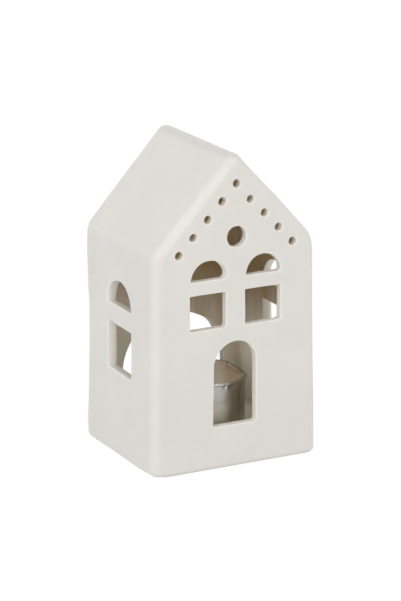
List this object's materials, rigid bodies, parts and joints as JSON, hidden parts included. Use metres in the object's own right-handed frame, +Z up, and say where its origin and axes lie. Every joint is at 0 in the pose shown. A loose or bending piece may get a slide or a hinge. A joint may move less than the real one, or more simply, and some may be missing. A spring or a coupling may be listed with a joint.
{
  "type": "tealight house",
  "caption": "Small glazed ceramic house with a steep roof, arched door, cut-out windows and gable holes, open at the back, holding a tall tealight.",
  "frame": {"origin": "middle of the base, on the plane that the foot ring stands on", "axes": "+Z up, +X to the right along the door wall, door wall facing -Y, open back wall facing +Y"},
  "size_m": [0.0832, 0.0716, 0.1429],
  "materials": {
    "glazed_ceramic": "off-white gloss glaze, bare on the foot ring",
    "cup_foil": "bright drawn aluminium",
    "wax": "white paraffin wax, satin",
    "tinplate": "stamped tinplate",
    "cotton_wick": "waxed braided cotton"
  },
  "bodies": {
    "house": {"house_shell": "glazed_ceramic"},
    "tealight": {"tealight_cup": "cup_foil"},
    "candle": {"wax_body": "wax", "wick_sustainer": "tinplate", "wick": "cotton_wick"}
  },
  "joints": [
    {"name": "tealight_slide", "type": "slide", "parent": "house", "child": "tealight", "axis": [0, 1, 0], "range_m": [0, 0.06]},
    {"name": "candle_lift", "type": "slide", "parent": "tealight", "child": "candle", "axis": [0, 0, 1], "range_m": [0, 0.03]}
  ]
}
